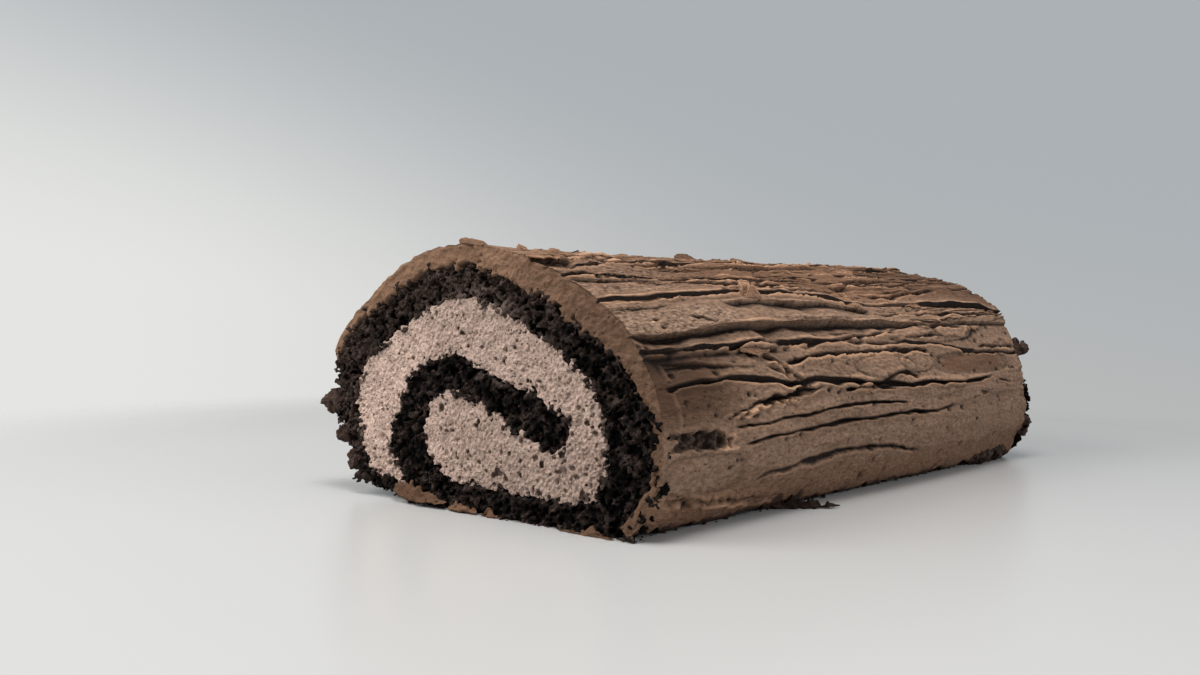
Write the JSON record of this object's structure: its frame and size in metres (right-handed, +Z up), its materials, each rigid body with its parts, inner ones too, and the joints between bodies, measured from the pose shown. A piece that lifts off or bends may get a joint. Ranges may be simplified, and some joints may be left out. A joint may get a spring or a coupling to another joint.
{
  "type": "chocolate swiss roll",
  "caption": "A rolled chocolate sponge filled with cocoa cream, cut square at its ends to show the spiral, and coated in ridged, spread chocolate icing.",
  "frame": {"origin": "middle of the base of the bounding box, on the surface the roll rests on", "axes": "+X along the roll from the shown cut to the far cut, +Y towards the bare side of the sponge, away from the tall smooth flank of icing, +Z up"},
  "size_m": [0.207, 0.1054, 0.0652],
  "materials": {
    "dark_sponge": "matt, open crumb",
    "cocoa_cream": "soft matt",
    "chocolate_icing": "matt, finely grained"
  },
  "bodies": {
    "root": {"sponge": "dark_sponge", "cream": "cocoa_cream", "icing": "chocolate_icing"}
  },
  "joints": []
}
